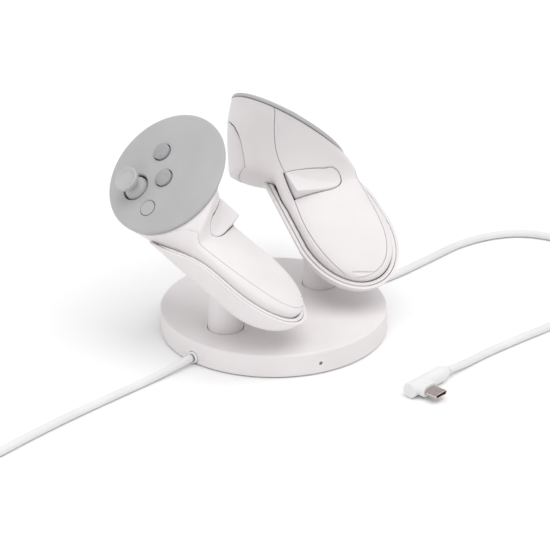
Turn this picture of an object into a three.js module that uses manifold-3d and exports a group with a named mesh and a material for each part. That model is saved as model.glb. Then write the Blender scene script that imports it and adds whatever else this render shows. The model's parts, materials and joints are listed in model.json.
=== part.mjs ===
// Two motion controllers resting in the cradles of a round charging dock.
//
// Millimetres, +Z up, origin at the middle of the dock's underside. The posts stand along X, and the
// user sits towards -Y. The left station is modelled and the right one is its mirror image in X.
//
// Three frames are used:
//   dock frame    the object's own frame;
//   handle frame  x = width (thumb side +), y = height out of the cradle, z = along the handle from tail to head;
//   face frame    x, y in the round face plate's plane, z out of it.

import * as THREE from 'three';
import { mergeVertices } from 'three/addons/utils/BufferGeometryUtils.js';
import Module from 'manifold-3d';

const wasm = await Module();
wasm.setup();

// ---------------------------------------------------------------- driving dimensions

const GAP = 0.3;                 // between pieces that touch
const WALL = 1.8;                // controller shells

// Dock
const DISC_R = 59;
const DISC_TOP = 12.4;
const DISC_BOTTOM = 0.5;
const COVER_WALL = 2.2;
const FOOT = { radius: 53, height: 1 };
const POST = { x: 35.7, radius: 9, bore: 3, flange: 12.5 };
const LAMP = { angle: -113.4, height: 5.9, radius: 0.8 };
const CORD_D = 4;
const GLAND_Z = 3.6;
const LEAD_EXIT_DEG = -5;

// Handle and cradle
const HANDLE = { yaw: 12.66, pitch: 31.38, roll: -11.0, tail: [-26.17, -47.43, 29.75] };
const TAIL_S = 4.4;              // the handle's tail tip along its own axis
const TAPER_S = 36.4;            // where the handle reaches full width
const ROUND_S = 30;              // where the handle reaches full depth
const NECK_S = 60;               // where the head starts to turn
const HALF_WIDTH = 22.2;
const CROWN = 6;                 // handle above the cradle's rim
const BELLY = 16.6;              // handle below the cradle's rim
const HULL = 4.4;                // the cradle's outside, measured out from the handle
const CLEAR = 0.5;               // play between handle and cradle
const MOUTH_S = 84.5;              // the mouth's edge at the handle's middle
const RIM_DIP = 14;              // how far the rim drops on the thumb side

// Grip button and trigger pin, in the handle frame and in the fan's plane
const GRIP = { front: -14, hinge: 12.2, pinAt: 3.9, proud: 5.4, under: 2.4 };
const TRIGGER_PIN = { rho: 69.6, turn: 50.6 };
const POCKET = { from: 56, to: 66, low: 22.5, high: 40, shift: 6 };
const TRIGGER_EDGE = { shown: 12.2, hidden: 14.8 };

// Face plate
const FACE = { centre: [-45.1, 31.4, 90.5], tilt: 44, radius: 33.5, dome: 1.6, thick: 1.8 };
const STICK = { at: [12, 12.7], ball: 6.6, pivot: -2, hole: 7.2, cap: 6.5 };
const BUTTONS = {
  upper_button: { at: [8.2, -9.2], radius: 4.5, rise: 1.9 },
  lower_button: { at: [-2.1, 3.2], radius: 4.5, rise: 1.9 },
  menu_button: { at: [-2.3, 20.4], radius: 3.2, rise: 0.5 },
};

// Facets
const AROUND = 22;
const INSIDE = 14;
const QUARTER_ROWS = 5;
const HEAD_ROWS = [0.17, 0.32, 0.38, 0.45, 0.52, 0.75, 1];

// ---------------------------------------------------------------- colours

const paint = (color, roughness, metalness = 0) => ({ color, roughness, metalness });
const WHITE = paint(0xece6e7, 0.55);
const LINER = paint(0xf1ebec, 0.5);
const GREY = paint(0xb4b2b5, 0.35);
const GLOSS = paint(0xa6a4a8, 0.15);
const STEEL = paint(0xb9bcc0, 0.3, 1);
const GOLD = paint(0xd8b25a, 0.3, 1);
const BOARD = paint(0x2f6b45, 0.6);
const DARK = paint(0x2b2b2e, 0.7);
const CELL = paint(0x6f7f8c, 0.4);
const CORD = paint(0xe9e3e4, 0.6);

// ---------------------------------------------------------------- solids

// A closed geometry as a solid that can be joined and cut.
function solid(geometry) {
  const bare = geometry.index ? geometry.toNonIndexed() : geometry.clone();
  bare.deleteAttribute('normal');
  bare.deleteAttribute('uv');
  const merged = mergeVertices(bare, 1e-4);
  return new wasm.Manifold(new wasm.Mesh({
    numProp: 3,
    vertProperties: merged.attributes.position.array,
    triVerts: new Uint32Array(merged.index.array),
  }));
}

// A solid as a geometry that three.js can draw.
function drawn(shape) {
  const mesh = shape.getMesh();
  const geometry = new THREE.BufferGeometry();
  const points = new Float32Array(mesh.numVert * 3);
  for (let i = 0; i < mesh.numVert; i++) {
    points.set(mesh.vertProperties.subarray(i * mesh.numProp, i * mesh.numProp + 3), i * 3);
  }
  geometry.setAttribute('position', new THREE.BufferAttribute(points, 3));
  geometry.setIndex(new THREE.BufferAttribute(new Uint32Array(mesh.triVerts), 1));
  return geometry.toNonIndexed();
}

function piece(name, geometry, look) {
  geometry.computeVertexNormals();
  const mesh = new THREE.Mesh(geometry, new THREE.MeshStandardMaterial(look));
  mesh.name = name;
  return mesh;
}

// A round solid turned about Z from its half outline, given as [radius, height] pairs.
function turned(outline, segments = 32) {
  const points = outline.map(([r, z]) => new THREE.Vector2(r, z));
  if (THREE.ShapeUtils.area(points) < 0) points.reverse();
  const lathe = new THREE.LatheGeometry([...points, points[0]], segments);
  return lathe.rotateX(Math.PI / 2);
}

function disc(radius, from, to, segments = 24) {
  const height = to - from;
  const shape = new THREE.CylinderGeometry(radius, radius, height, segments).rotateX(Math.PI / 2);
  return shape.translate(0, 0, from + height / 2);
}

function block(width, depth, height, x = 0, y = 0, z = 0) {
  return new THREE.BoxGeometry(width, depth, height).translate(x, y, z);
}

// A sphere whose rows are pulled onto the given rings, with a pole at each end.
function wrapped(rings, around) {
  const shape = new THREE.SphereGeometry(1, around, rings.length - 1);
  const place = shape.attributes.position;
  const uv = shape.attributes.uv;
  for (let i = 0; i < place.count; i++) {
    const row = Math.round((1 - uv.getY(i)) * (rings.length - 1));
    const angle = -2 * Math.PI * uv.getX(i);
    const p = rings[row](angle);
    place.setXYZ(i, p.x, p.y, p.z);
  }
  return shape;
}

// ---------------------------------------------------------------- frames

const rad = THREE.MathUtils.degToRad;
const vec = (x, y, z) => new THREE.Vector3(x, y, z);

function handleFrame() {
  const yaw = rad(HANDLE.yaw);
  const pitch = rad(HANDLE.pitch);
  const roll = rad(HANDLE.roll);
  const along = vec(-Math.cos(pitch) * Math.sin(yaw), Math.cos(pitch) * Math.cos(yaw), Math.sin(pitch));
  const level = vec(0, 0, 1).cross(along).normalize();
  const upright = along.clone().cross(level);
  const height = upright.clone().multiplyScalar(Math.cos(roll)).addScaledVector(level, Math.sin(roll));
  const width = height.clone().cross(along);
  return new THREE.Matrix4().makeBasis(width, height, along).setPosition(...HANDLE.tail);
}

function faceFrame() {
  const tilt = rad(FACE.tilt);
  const out = vec(-Math.sin(tilt), 0, Math.cos(tilt));
  const u = vec(0, 1, 0);
  return new THREE.Matrix4().makeBasis(u, out.clone().cross(u), out).setPosition(...FACE.centre);
}

const toDock = handleFrame();
const toHandle = toDock.clone().invert();
const faceInDock = faceFrame();
const faceInHandle = toHandle.clone().multiply(faceInDock);

// The head is a fan of sections that turn about one line, from the neck's plane to the face's plane.
const fan = (() => {
  const faceOut = vec(0, 0, 0).setFromMatrixColumn(faceInHandle, 2);
  const faceAt = vec(0, 0, 0).setFromMatrixPosition(faceInHandle);
  const axis = faceOut.clone().cross(vec(0, 0, 1)).normalize();
  const inFace = axis.clone().cross(faceOut).negate();
  if (inFace.z < 0) inFace.negate();
  const reach = (faceAt.z - NECK_S) / inFace.z;
  const pivot = faceAt.clone().addScaledVector(inFace, -reach);
  const atNeck = vec(inFace.x, inFace.y, 0).normalize();
  return { axis, pivot, atNeck, reach, turn: Math.acos(inFace.dot(atNeck)) };
})();

const fanPoint = (turn, rho, eta) => fan.pivot.clone()
  .addScaledVector(fan.atNeck, rho * Math.cos(turn))
  .addScaledVector(vec(0, 0, 1), rho * Math.sin(turn))
  .addScaledVector(fan.axis, eta);

// ---------------------------------------------------------------- handle, head and cradle surfaces

const { lerp, smoothstep } = THREE.MathUtils;
const bend = (t, power) => Math.sign(t) * Math.abs(t) ** (2 / power);
const roundOff = (s, tail, full) => Math.sqrt(Math.max(0, 1 - (Math.max(0, full - s) / (full - tail)) ** 2));

// A point on the handle, or on a surface grown out from it, at s along it.
function handlePoint(s, angle, grow) {
  const tail = TAIL_S - grow;
  const lean = Math.max(0, s - TAPER_S);
  const half = (HALF_WIDTH + grow) * roundOff(s, tail, TAPER_S) - 0.03 * lean;
  const deep = roundOff(s, tail, ROUND_S);
  const side = Math.sin(angle) > 0 ? (CROWN + grow) * deep : (BELLY + grow) * deep;
  const x = 1.9 + 0.0475 * lean + half * bend(Math.cos(angle), 2.2);
  return vec(x, side * bend(Math.sin(angle), 2.2), s);
}

// A point on the head, at a share k of the turn from the neck to the face. The front stays in line with
// the handle, then steps out as the shelf that the index trigger hangs from.
function headPoint(k, angle, grow, nose = 0) {
  const neck = handlePoint(NECK_S, angle, grow).sub(fan.pivot);
  const side = vec(Math.cos(angle), Math.sin(angle), 0);
  const facing = side.dot(fan.atNeck);
  const shelf = 0.82 * smoothstep(k, 0.32, 0.52) + 0.18 * smoothstep(k, 0.52, 1);
  const out = lerp(k ** 1.5, shelf, Math.max(0, facing) ** 2);
  const swell = nose * Math.max(0, facing) - 2.6 * Math.sin(Math.PI * k ** 1.5) * Math.max(0, -facing) ** 3;
  side.multiplyScalar(FACE.radius + grow);
  const rho = lerp(neck.dot(fan.atNeck), fan.reach + side.dot(fan.atNeck), out) + swell;
  const eta = lerp(neck.dot(fan.axis), side.dot(fan.axis), k ** 1.5);
  return fanPoint(k * fan.turn, rho, eta);
}

const spaced = (count, from, to) => Array.from({ length: count }, (_, i) => from + (to - from) * i / (count - 1));

function handleRings(grow, end, straight) {
  const tail = TAIL_S - grow;
  const quarter = spaced(QUARTER_ROWS + 1, 0, Math.PI / 2).slice(1);
  const stations = quarter.map((a) => tail + (TAPER_S - tail) * (1 - Math.cos(a)));
  stations.push(...spaced(straight + 1, TAPER_S, end).slice(1));
  return [() => vec(1.9, 0, tail), ...stations.map((s) => (angle) => handlePoint(s, angle, grow))];
}

// The whole controller, from the tail to the face plate's edge.
function bodyShape(grow, nose = 0, facets = AROUND) {
  const head = HEAD_ROWS.map((k) => (angle) => headPoint(k, angle, grow, nose));
  const middle = vec(0, 0, 0).setFromMatrixPosition(faceInHandle);
  return solid(wrapped([...handleRings(grow, NECK_S, 2), ...head, () => middle], facets));
}

// The cradle's hull carries the handle's section straight on.
function hullShape(grow, facets = AROUND) {
  const end = MOUTH_S + 12;
  return solid(wrapped([...handleRings(grow, end, 3), () => vec(3, -4, end)], facets));
}

// Everything below the rim and behind the mouth, lowered by drop.
function rimSpace(drop) {
  const space = new THREE.BoxGeometry(90, 60, 120, 8, 1, 18).translate(0, 0, 60);
  const place = space.attributes.position;
  for (let i = 0; i < place.count; i++) {
    const x = place.getX(i);
    const top = place.getY(i) > 0;
    const mouth = MOUTH_S - drop + 0.04 * x + (top ? 0 : 6);
    const z = place.getZ(i) * (mouth + 20) / 120 - 20;
    const dip = RIM_DIP * smoothstep(z, 44, 88) ** 1.4 * smoothstep(x, -4, 20);
    place.setXYZ(i, x, top ? -dip - drop : -60, z);
  }
  return solid(space);
}

// A flat outline in the handle's width and length, given as a shape of (x, z), stood up from low to high.
function standing(shape, low, high) {
  const prism = new THREE.ExtrudeGeometry(shape, { depth: high - low, bevelEnabled: false, curveSegments: 6 });
  return solid(reversed(prism.rotateX(Math.PI / 2).scale(1, -1, 1).translate(0, low, 0)));
}

// The inner panel's outline: nearly straight sides, and a round end near the tail.
function panelOutline(grow) {
  const shape = new THREE.Shape();
  shape.moveTo(-11.8 - grow, 130);
  shape.lineTo(-11.8 - grow, 96);
  shape.quadraticCurveTo(-16.5 - grow, 86, -14.2 - grow, 76);
  shape.lineTo(-15 - grow, 60);
  shape.bezierCurveTo(-18.5 - grow, 44, -19.5 - grow, 26, -12.5 - grow, 12.5);
  shape.bezierCurveTo(-7.5, 3.6 - grow, 6, 3.6 - grow, 13 + grow, 13);
  shape.bezierCurveTo(20.5 + grow, 23, 21.5 + grow, 38, 23 + grow, 58);
  shape.lineTo(22.8 + grow, 130);
  shape.closePath();
  return shape;
}

function panelSpace(grow) {
  const beyond = solid(block(60, 16, 44, 0, 7, 118));
  return standing(panelOutline(grow), -1, 60).subtract(beyond);
}

// The grip button's outline: square at the front edge, round at its hinge.
function gripOutline(grow) {
  const shape = new THREE.Shape();
  shape.moveTo(GRIP.front - 2 * grow, 74.7 + grow);
  shape.lineTo(GRIP.front - 2 * grow, 61.4 - grow);
  shape.lineTo(3.5, 58.4 - grow);
  shape.bezierCurveTo(16 + grow, 56.6 - grow, 16 + grow, 66.5 + grow, 6, 67.6 + grow);
  shape.closePath();
  return shape;
}

// The grip button is a paddle that rises from its hinge towards its front edge.
function gripShape() {
  const key = standing(gripOutline(0), GRIP.under, 30);
  const tilt = Math.atan2(GRIP.proud, GRIP.hinge - GRIP.front);
  const above = block(80, 40, 60, 0, 20, 0).rotateZ(-tilt).translate(GRIP.hinge, 5.6, 66);
  const rim = new THREE.CylinderGeometry(1.1, 1.1, 30, 10).rotateX(Math.PI / 2);
  const paddle = key.subtract(solid(above)).add(key.intersect(bodyShape(0.3)));
  return paddle.subtract(solid(rim.translate(GRIP.hinge, GRIP.pinAt, 66)));
}

// The index trigger's side outline, a crescent in the fan's plane with an arm to its pin.
function triggerOutline(grow) {
  const at = (rho, turn) => new THREE.Vector2(rho * Math.cos(rad(turn)), rho * Math.sin(rad(turn)));
  const back = new THREE.CatmullRomCurve3([[62, 23], [62.6, 29], [63.2, 35.2], [65.6, 42.2], [70, 47]]
    .map(([rho, turn]) => vec(at(rho - grow, turn).x, at(rho - grow, turn).y, 0)));
  const shape = new THREE.Shape();
  const start = at(92, 22 - grow * 0.8);
  shape.moveTo(start.x, start.y);
  for (const p of back.getPoints(7)) shape.lineTo(p.x, p.y);
  const top = [at(75.8, 49.9 + grow * 0.5), at(92, 49.9 + grow * 0.5)];
  for (const p of top) shape.lineTo(p.x, p.y);
  shape.closePath();
  return shape;
}

// A solid whose outline lies in the fan's plane, from one eta to another.
function acrossFan(shape, from, to) {
  const prism = new THREE.ExtrudeGeometry(shape, { depth: to - from, bevelEnabled: false, curveSegments: 8 });
  const frame = new THREE.Matrix4().makeBasis(fan.atNeck, vec(0, 0, 1), fan.axis);
  const flip = frame.determinant() < 0;
  frame.setPosition(fan.pivot.clone().addScaledVector(fan.axis, from));
  prism.applyMatrix4(frame);
  return solid(flip ? reversed(prism) : prism);
}

function reversed(geometry) {
  const plain = geometry.index ? geometry.toNonIndexed() : geometry;
  const place = plain.attributes.position;
  for (let i = 0; i < place.count; i += 3) {
    const [a, b] = [vec(0, 0, 0).fromBufferAttribute(place, i + 1), vec(0, 0, 0).fromBufferAttribute(place, i + 2)];
    place.setXYZ(i + 1, b.x, b.y, b.z);
    place.setXYZ(i + 2, a.x, a.y, a.z);
  }
  return plain;
}

// A round pin across the fan.
function fanPin(rho, turn, radius, from, to, segments = 12) {
  const pin = new THREE.CylinderGeometry(radius, radius, to - from, segments);
  pin.applyQuaternion(new THREE.Quaternion().setFromUnitVectors(vec(0, 1, 0), fan.axis));
  const at = fanPoint(rad(turn), rho, (from + to) / 2);
  return solid(pin.translate(at.x, at.y, at.z));
}

// ---------------------------------------------------------------- dock

function baseCover() {
  const outline = [[54, DISC_TOP - COVER_WALL], [0, DISC_TOP - COVER_WALL], [0, DISC_TOP], [DISC_R - 1, DISC_TOP],
    [DISC_R - 0.3, DISC_TOP - 0.3], [DISC_R, DISC_TOP - 1], [DISC_R, DISC_BOTTOM], [DISC_R - COVER_WALL, DISC_BOTTOM],
    [DISC_R - COVER_WALL, DISC_TOP - COVER_WALL]];
  let cover = solid(turned(outline.slice(1), 48));
  for (const side of [-1, 1]) {
    cover = cover.subtract(solid(disc(POST.radius + GAP, 5, 20, 24).translate(side * POST.x, 0, 0)));
  }
  cover = cover.subtract(solid(radial(3.5, 55, 62, 180, GLAND_Z)));
  cover = cover.subtract(solid(radial(3.5, 55, 62, LEAD_EXIT_DEG, GLAND_Z)));
  return cover.subtract(solid(radial(LAMP.radius + GAP, 55, 62, LAMP.angle, LAMP.height, 8)));
}

// A cylinder that points away from the dock's middle.
function radial(radius, from, to, degrees, height, segments = 12) {
  const rod = new THREE.CylinderGeometry(radius, radius, to - from, segments).rotateZ(-Math.PI / 2);
  return rod.translate((from + to) / 2, 0, height).rotateZ(rad(degrees));
}

function gland(degrees) {
  const rows = [[2.35, 57.4], [3, 57.4], [3, 59.3], [2.35, 59.9]];
  const ring = turned(rows, 12).rotateY(Math.PI / 2);
  return ring.translate(0, 0, GLAND_Z).rotateZ(rad(degrees));
}

function dockPieces() {
  const ballast = solid(disc(54, 3.5, 6.5, 28)).subtract(solid(block(34, 30, 10, 0, -30, 5)));
  return [
    piece('base_cover', drawn(baseCover()), WHITE),
    piece('bottom_plate', disc(DISC_R - COVER_WALL - GAP, FOOT.height + GAP, 3.2, 32), WHITE),
    piece('ballast_plate', drawn(ballast), STEEL),
    piece('foot_pad', disc(FOOT.radius, 0, FOOT.height, 28), DARK),
    piece('dock_board', block(32, 28, 1.2, 0, -30, 7.6), BOARD),
    piece('status_light', radial(LAMP.radius, 57.2, 58.8, LAMP.angle, LAMP.height, 8), GLOSS),
    piece('power_gland', gland(180), CORD),
    piece('lead_gland', gland(LEAD_EXIT_DEG), CORD),
  ];
}

function postShape() {
  const rows = [[POST.bore, 7], [POST.flange, 7], [POST.flange, 9.8], [POST.radius, 9.8], [POST.radius, 44], [POST.bore, 44]];
  const column = solid(turned(rows, 24).translate(-POST.x, 0, 0));
  const hull = drawn(hullShape(HULL + GAP)).applyMatrix4(toDock);
  return column.subtract(solid(hull));
}

// ---------------------------------------------------------------- cords

// The power cord runs straight out to its coil; the headset lead turns back to its plug.
const POWER_ROUTE = [[-60.2, 0.3, GLAND_Z], [-72, 0.4, 2.9], [-86, 0.7, 2.15], [-104, 1.1, 2.1], [-121, 1.5, 2.1],
  [-140, 1.9, 2.1], [-160, 2.3, 2.1], [-182, 2.5, 2.1], [-200, 2.5, 2.1]];
const LEAD_ROUTE = [[60, -5.25, GLAND_Z], [68, -6.3, 3.1], [80, -7.8, 2.15], [93, -8.9, 2.1], [118, -9, 2.1],
  [144.5, -9.3, 2.1], [165, -14.8, 2.1], [179.5, -24.7, 2.1], [187.5, -40, 2.1], [190, -58, 2.1],
  [186, -77, 2.1], [173, -95, 2.1], [152, -106, 2.1], [125, -109.5, 2.1], [95, -108.2, 2.1], [72.8, -105.4, 2.1],
  [50, -103, 2.1], [30, -102.3, 2.4], [14.5, -102.3, 4]];
const COIL = { x: -224, y: 28.5, inner: 20, outer: 32.4, height: 12.4 };
const LEAD_PLUG = { y: -102.3, z: 4, from: -13, to: 12.5 };

function tube(route, steps) {
  const path = new THREE.CatmullRomCurve3(route.map((p) => vec(...p)));
  const section = new THREE.Shape().absarc(0, 0, CORD_D / 2, 0, 2 * Math.PI);
  return new THREE.ExtrudeGeometry(section, { extrudePath: path, steps, curveSegments: 4, bevelEnabled: false });
}

function usbTip(width, thick, length) {
  const shape = new THREE.Shape();
  const r = thick / 2;
  shape.absarc(width / 2 - r, 0, r, -Math.PI / 2, Math.PI / 2);
  shape.absarc(r - width / 2, 0, r, Math.PI / 2, 3 * Math.PI / 2);
  shape.closePath();
  return new THREE.ExtrudeGeometry(shape, { depth: length, bevelEnabled: false, curveSegments: 4 });
}

function cordPieces() {
  const { x, y, inner, outer, height } = COIL;
  const coil = turned([[inner, 0.1], [outer, 0.1], [outer, height], [inner, height]], 28).translate(x, y, 0);
  const powerPlug = solid(block(22, 15, 7.4, x + 38.5, y + 26, 3.8))
    .add(solid(block(14, 12, 4.5, x + 55.5, y + 26, 3.8)));
  const barrel = new THREE.CylinderGeometry(4, 4, LEAD_PLUG.to - LEAD_PLUG.from, 20).rotateZ(Math.PI / 2)
    .translate((LEAD_PLUG.to + LEAD_PLUG.from) / 2, LEAD_PLUG.y, LEAD_PLUG.z);
  const collar = usbTip(11, 6.4, 6).rotateX(Math.PI / 2).translate(-5.2, LEAD_PLUG.y - 1, LEAD_PLUG.z);
  const sleeve = new THREE.CylinderGeometry(2.9, 3.3, 5, 16).rotateZ(-Math.PI / 2).translate(13.4, LEAD_PLUG.y, 4);
  const shell = solid(usbTip(8.3, 2.5, 6.6).rotateX(Math.PI / 2))
    .subtract(solid(usbTip(7.5, 1.7, 7).rotateX(Math.PI / 2).translate(0, -1, 0)));
  const route = LEAD_ROUTE.slice(0, -1).concat([[16.4, LEAD_PLUG.y, 3.9]]);
  return [
    piece('power_cord', tube(POWER_ROUTE, 14), CORD),
    piece('power_coil', coil, CORD),
    piece('power_plug', drawn(powerPlug), CORD),
    piece('headset_lead', tube(route, 34), CORD),
    piece('lead_plug', drawn(solid(barrel).add(solid(collar)).add(solid(sleeve))), CORD),
    piece('plug_shell', drawn(shell).translate(-5.2, LEAD_PLUG.y - 7 - GAP, LEAD_PLUG.z), STEEL),
  ];
}

// ---------------------------------------------------------------- one station: cradle and controller

const body = bodyShape(0);
const cavity = bodyShape(-WALL, 0, INSIDE);
const around = bodyShape(CLEAR);

function cradlePieces() {
  const low = rimSpace(2.4);
  const lip = hullShape(HULL).intersect(rimSpace(0)).subtract(low);
  const inside = hullShape(CLEAR).add(around);
  const pocket = solid(block(5.6, 4, 13, 2.6, -18.4, 44));
  const liner = lip.add(hullShape(2.6, INSIDE).intersect(rimSpace(0))).subtract(inside).subtract(pocket);
  const shell = hullShape(HULL).intersect(rimSpace(2.4 + GAP)).subtract(hullShape(2.6 + GAP, INSIDE)).subtract(around);
  let pins = solid(block(5, 1.2, 12.4, 2.6, -18.1, 44));
  for (const z of [-4, 0, 4]) {
    const pin = new THREE.CylinderGeometry(0.7, 0.7, 0.9, 8).translate(2.6, -17.3, 44 + z);
    pins = pins.add(solid(pin));
  }
  return [
    piece('cradle_shell', drawn(whole(shell)), WHITE),
    piece('cradle_liner', drawn(whole(liner)), LINER),
    piece('charge_pins', drawn(pins), GOLD),
  ];
}

// The main body of a shape, without any sliver that a cut left loose.
function whole(shape) {
  return shape.decompose().reduce((a, b) => (a.volume() > b.volume() ? a : b));
}

function handlePieces() {
  const skin = body.subtract(cavity).subtract(faceSpace);
  const crescent = acrossFan(triggerOutline(0), -TRIGGER_EDGE.shown, TRIGGER_EDGE.hidden);
  const trigger = bodyShape(-WALL - 1.5, 3.4).intersect(crescent);
  const arm = armShape().subtract(fanPin(TRIGGER_PIN.rho, TRIGGER_PIN.turn, 1.5, -20, 20));
  const opening = acrossFan(triggerOutline(0.6), -40, 40).add(triggerPocket());
  const gripPin = new THREE.CylinderGeometry(0.8, 0.8, 9.4, 12).rotateX(Math.PI / 2)
    .translate(GRIP.hinge, GRIP.pinAt, 63.4);
  const slot = solid(block(11.6, 6, 2, 0, 0, 0).rotateY(rad(24)).translate(-3.6, 3.6, 7.7));
  const latch = solid(block(8, 1, 1.3, 0, 0, 0).rotateY(rad(24)).translate(-3, -1.2, 9.4));
  const keyhole = standing(gripOutline(0.5), -5, 60);
  const outer = skin.subtract(panelSpace(0.15)).subtract(opening).subtract(keyhole);
  const pinSpace = solid(new THREE.CylinderGeometry(1.2, 1.2, 10.4, 12).rotateX(Math.PI / 2)
    .translate(GRIP.hinge, GRIP.pinAt, 63.4));
  const inner = skin.intersect(panelSpace(-0.15)).subtract(keyhole)
    .subtract(opening).subtract(slot).subtract(pinSpace);
  return [
    piece('outer_shell', drawn(whole(outer)), WHITE),
    piece('inner_panel', drawn(whole(inner)), WHITE),
    piece('index_trigger', drawn(whole(trigger.add(arm).subtract(faceSpace))), WHITE),
    piece('grip_button', drawn(gripShape()), WHITE),
    piece('grip_pin', gripPin, STEEL),
    piece('release_latch', drawn(latch), DARK),
    piece('trigger_pin', drawn(fanPin(TRIGGER_PIN.rho, TRIGGER_PIN.turn, 1.2, -11, 11)), STEEL),
    piece('trigger_spring', drawn(fanPin(TRIGGER_PIN.rho, TRIGGER_PIN.turn, 2.6, 5.5, 9.5)
      .subtract(fanPin(TRIGGER_PIN.rho, TRIGGER_PIN.turn, 1.5, 4, 11))), STEEL),
    piece('battery_cell', new THREE.CylinderGeometry(6.8, 6.8, 50, 16).rotateX(Math.PI / 2)
      .translate(2.6, -6.7, 48), CELL),
    piece('haptic_motor', new THREE.CylinderGeometry(5, 5, 9, 16).translate(4, -5, 84), STEEL),
  ];
}

// The room behind the trigger's lower end: the shell's inside, carried forward through its front wall.
function triggerPocket() {
  const shape = new THREE.Shape();
  const at = (rho, turn) => [rho * Math.cos(rad(turn)), rho * Math.sin(rad(turn))];
  shape.moveTo(...at(POCKET.from, POCKET.low));
  shape.lineTo(...at(POCKET.from, POCKET.high));
  shape.lineTo(...at(POCKET.to, POCKET.high));
  shape.lineTo(...at(POCKET.to, POCKET.low));
  shape.closePath();
  const forward = fanPoint(rad(POCKET.low), POCKET.shift, 0).sub(fan.pivot);
  return acrossFan(shape, -30, 30).intersect(cavity.translate(forward.toArray()));
}

function armShape() {
  const shape = new THREE.Shape();
  const at = (rho, turn) => [rho * Math.cos(rad(turn)), rho * Math.sin(rad(turn))];
  shape.moveTo(...at(72.6, 45));
  shape.lineTo(...at(66.5, 45.5));
  shape.lineTo(...at(67, 52.4));
  shape.lineTo(...at(72.4, 52.2));
  shape.closePath();
  return acrossFan(shape, -5, 5);
}

// The space above the shells' top edge, where the face plate sits.
const faceSpace = solid(disc(60, -FACE.thick - GAP, 40, 48).applyMatrix4(faceInHandle));

// The face plate's height at a distance from its middle.
const crown = (r) => FACE.dome * (1 - (r / FACE.radius) ** 2);

function facePieces() {
  const rim = [[0, -FACE.thick], [FACE.radius - 0.4, -FACE.thick], [FACE.radius, -FACE.thick + 0.5], [FACE.radius, -0.3]];
  const top = spaced(3, FACE.radius - 0.4, 0).map((r) => [r, crown(r)]);
  let plate = solid(turned([...rim, ...top], 32)).subtract(solid(disc(STICK.hole, -9, 9, 20).translate(...STICK.at, 0)));
  const pieces = [];
  for (const [name, { at, radius, rise }] of Object.entries(BUTTONS)) {
    plate = plate.subtract(solid(disc(radius + GAP, -9, 9, 16).translate(...at, 0)));
    const level = crown(Math.hypot(...at));
    const dome = spaced(3, radius, 0).map((r) => [r, level + 0.3 + rise * Math.sqrt(1 - (0.92 * r / radius) ** 2)]);
    const outline = [[0, -3.2], [radius + 1.2, -3.2], [radius + 1.2, -2.5], [radius, -2.5], ...dome];
    pieces.push(piece(name, turned(outline, 16).translate(...at, 0), GLOSS));
  }
  const { ball, pivot, cap } = STICK;
  const dome = spaced(6, rad(-14.9), rad(70)).map((a) => [ball * Math.cos(a), pivot + ball * Math.sin(a)]);
  const stem = [[0, -9.6], [1.3, -9.6], [1.3, -4], ...dome, [2.2, 6.2], [2.2, 7], [0, 7]];
  const capRows = [[0, 7.7], [cap - 1.2, 7.7], [cap, 8.6], [cap, 9.8], [cap - 0.7, 10.6], [cap - 1.5, 10.6], [0, 9.8]];
  const cup = [[0, -12.4], [8.3, -12.4], [8.3, -6.6], [7.6, -6.6], [7.6, -11.7], [0, -11.7]];
  const yoke = solid(block(11, 6, 2, 0, 0, -8.5)).subtract(solid(block(8.2, 3.4, 6, 0, 0, -8.5)));
  const board = solid(disc(20, -6.3, -5.1, 24)).subtract(solid(disc(STICK.hole, -9, 0, 16).translate(...STICK.at, 0)));
  const stick = [
    piece('stick_stem', turned(stem, 18), GREY),
    piece('stick_cap', turned(capRows, 20), GREY),
    piece('stick_housing', turned(cup, 18), STEEL),
    piece('stick_yoke', drawn(yoke), STEEL),
  ];
  for (const mesh of stick) mesh.position.set(...STICK.at, 0);
  return [piece('face_plate', drawn(plate), GREY), piece('main_board', drawn(board), BOARD), ...pieces, ...stick];
}

// Left and right stations hold the same pieces; the right one is mirrored.
function station(side) {
  const post = piece('post', drawn(postShape()), WHITE);
  const handle = new THREE.Group();
  handle.applyMatrix4(toDock);
  handle.add(...cradlePieces(), ...handlePieces());
  const face = new THREE.Group();
  face.applyMatrix4(faceInDock);
  face.add(...facePieces());
  const whole = new THREE.Group();
  whole.add(post, handle, face);
  whole.traverse((part) => {
    if (part.isMesh) part.name = `${side}_${part.name}`;
  });
  whole.scale.x = side === 'left' ? 1 : -1;
  return whole;
}

const set = new THREE.Group();
set.add(...dockPieces(), station('left'), station('right'), ...cordPieces());

export default set;
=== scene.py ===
# %% [markdown]
# # Two motion controllers on a round charging dock
#
# The CAD model gives every piece its place and size, and it is loaded first as a fixed frame. This script
# then builds the surfaces that are seen: the same forms in finer meshes, with real finishes on them.
# Everything is in metres in the dock's own frame: +Z up, the posts along X, the user towards -Y.

# %% Load the frame
import json
import math
import bmesh
import bpy
import numpy as np
from mathutils import Matrix, Vector

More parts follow.
